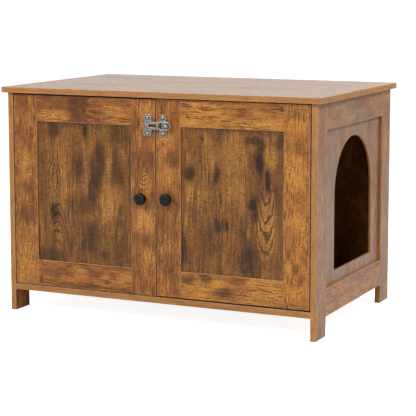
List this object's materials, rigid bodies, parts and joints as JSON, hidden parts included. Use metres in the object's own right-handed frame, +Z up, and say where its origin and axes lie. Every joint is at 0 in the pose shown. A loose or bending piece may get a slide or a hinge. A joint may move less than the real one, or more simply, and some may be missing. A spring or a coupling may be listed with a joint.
{
  "type": "litter box cabinet",
  "caption": "Floor-standing cabinet that hides a litter tray: framed sides, an arched entrance in one of them, inset framed double doors with knobs and a flip latch, flat top.",
  "frame": {"origin": "on the floor, under the middle of the whole object's plan, knobs included", "axes": "+X to the right seen from the front, +Y to the back, +Z up"},
  "size_m": [0.9, 0.596, 0.6],
  "materials": {
    "top_laminate": "satin rustic oak print on particle board, pale under the light",
    "frame_laminate": "satin rustic oak print, grain along each member",
    "side_panel_laminate": "greyed rustic oak print, upright grain",
    "door_frame_laminate": "satin orange-brown rustic oak print",
    "door_panel_laminate": "darker rustic oak print with near-black streaks",
    "back_laminate": "plain satin brown laminate on thin board",
    "black_lacquer": "glossy black lacquer",
    "latch_nickel": "satin nickel plate on cast zinc",
    "hinge_steel": "nickel-plated pressed steel",
    "screw_steel": "bright zinc plate",
    "cam_zinc": "die-cast zinc"
  },
  "bodies": {
    "cabinet": {"back_panel": "back_laminate", "bottom_board": "frame_laminate", "left_bottom_rail": "frame_laminate", "left_front_bottom_bolt": "cam_zinc", "left_front_bottom_cam": "cam_zinc", "left_front_post": "frame_laminate", "left_front_top_bolt": "cam_zinc", "left_front_top_cam": "cam_zinc", "left_lower_hinge_arm": "hinge_steel", "left_rear_bottom_bolt": "cam_zinc", "left_rear_bottom_cam": "cam_zinc", "left_rear_post": "frame_laminate", "left_rear_top_bolt": "cam_zinc", "left_rear_top_cam": "cam_zinc", "left_side_panel": "side_panel_laminate", "left_top_rail": "frame_laminate", "left_upper_hinge_arm": "hinge_steel", "right_bottom_rail": "frame_laminate", "right_front_bottom_bolt": "cam_zinc", "right_front_bottom_cam": "cam_zinc", "right_front_post": "frame_laminate", "right_front_top_bolt": "cam_zinc", "right_front_top_cam": "cam_zinc", "right_lower_hinge_arm": "hinge_steel", "right_rear_bottom_bolt": "cam_zinc", "right_rear_bottom_cam": "cam_zinc", "right_rear_post": "frame_laminate", "right_rear_top_bolt": "cam_zinc", "right_rear_top_cam": "cam_zinc", "right_side_panel": "side_panel_laminate", "right_top_rail": "frame_laminate", "right_upper_hinge_arm": "hinge_steel", "top_board": "top_laminate"},
    "left_door": {"latch_base": "latch_nickel", "latch_base_lower_screw": "screw_steel", "latch_base_upper_screw": "screw_steel", "latch_pin": "latch_nickel", "left_door_bottom_rail": "door_frame_laminate", "left_door_inner_stile": "door_frame_laminate", "left_door_outer_stile": "door_frame_laminate", "left_door_panel": "door_panel_laminate", "left_door_top_rail": "door_frame_laminate", "left_knob": "black_lacquer", "left_knob_screw": "screw_steel", "left_lower_hinge_cup": "hinge_steel", "left_upper_hinge_cup": "hinge_steel"},
    "right_door": {"latch_keeper": "latch_nickel", "latch_keeper_lower_screw": "screw_steel", "latch_keeper_upper_screw": "screw_steel", "right_door_bottom_rail": "door_frame_laminate", "right_door_inner_stile": "door_frame_laminate", "right_door_outer_stile": "door_frame_laminate", "right_door_panel": "door_panel_laminate", "right_door_top_rail": "door_frame_laminate", "right_knob": "black_lacquer", "right_knob_screw": "screw_steel", "right_lower_hinge_cup": "hinge_steel", "right_upper_hinge_cup": "hinge_steel"},
    "latch_bar": {"latch_bar": "latch_nickel"}
  },
  "joints": [
    {"name": "left_door_swing", "type": "hinge", "parent": "cabinet", "child": "left_door", "pos_m": [-0.4205, -0.271, 0.3275], "axis": [0, 0, -1], "range_deg": [0, 105]},
    {"name": "right_door_swing", "type": "hinge", "parent": "cabinet", "child": "right_door", "pos_m": [0.4205, -0.271, 0.3295], "axis": [0, 0, 1], "range_deg": [0, 105]},
    {"name": "latch_flip", "type": "hinge", "parent": "left_door", "child": "latch_bar", "pos_m": [-0.022, -0.2795, 0.515], "axis": [0, 0, -1], "range_deg": [0, 175]}
  ],
  "couplings": [
    {"joint": "right_door_swing", "follows": "left_door_swing", "ratio": 1}
  ]
}
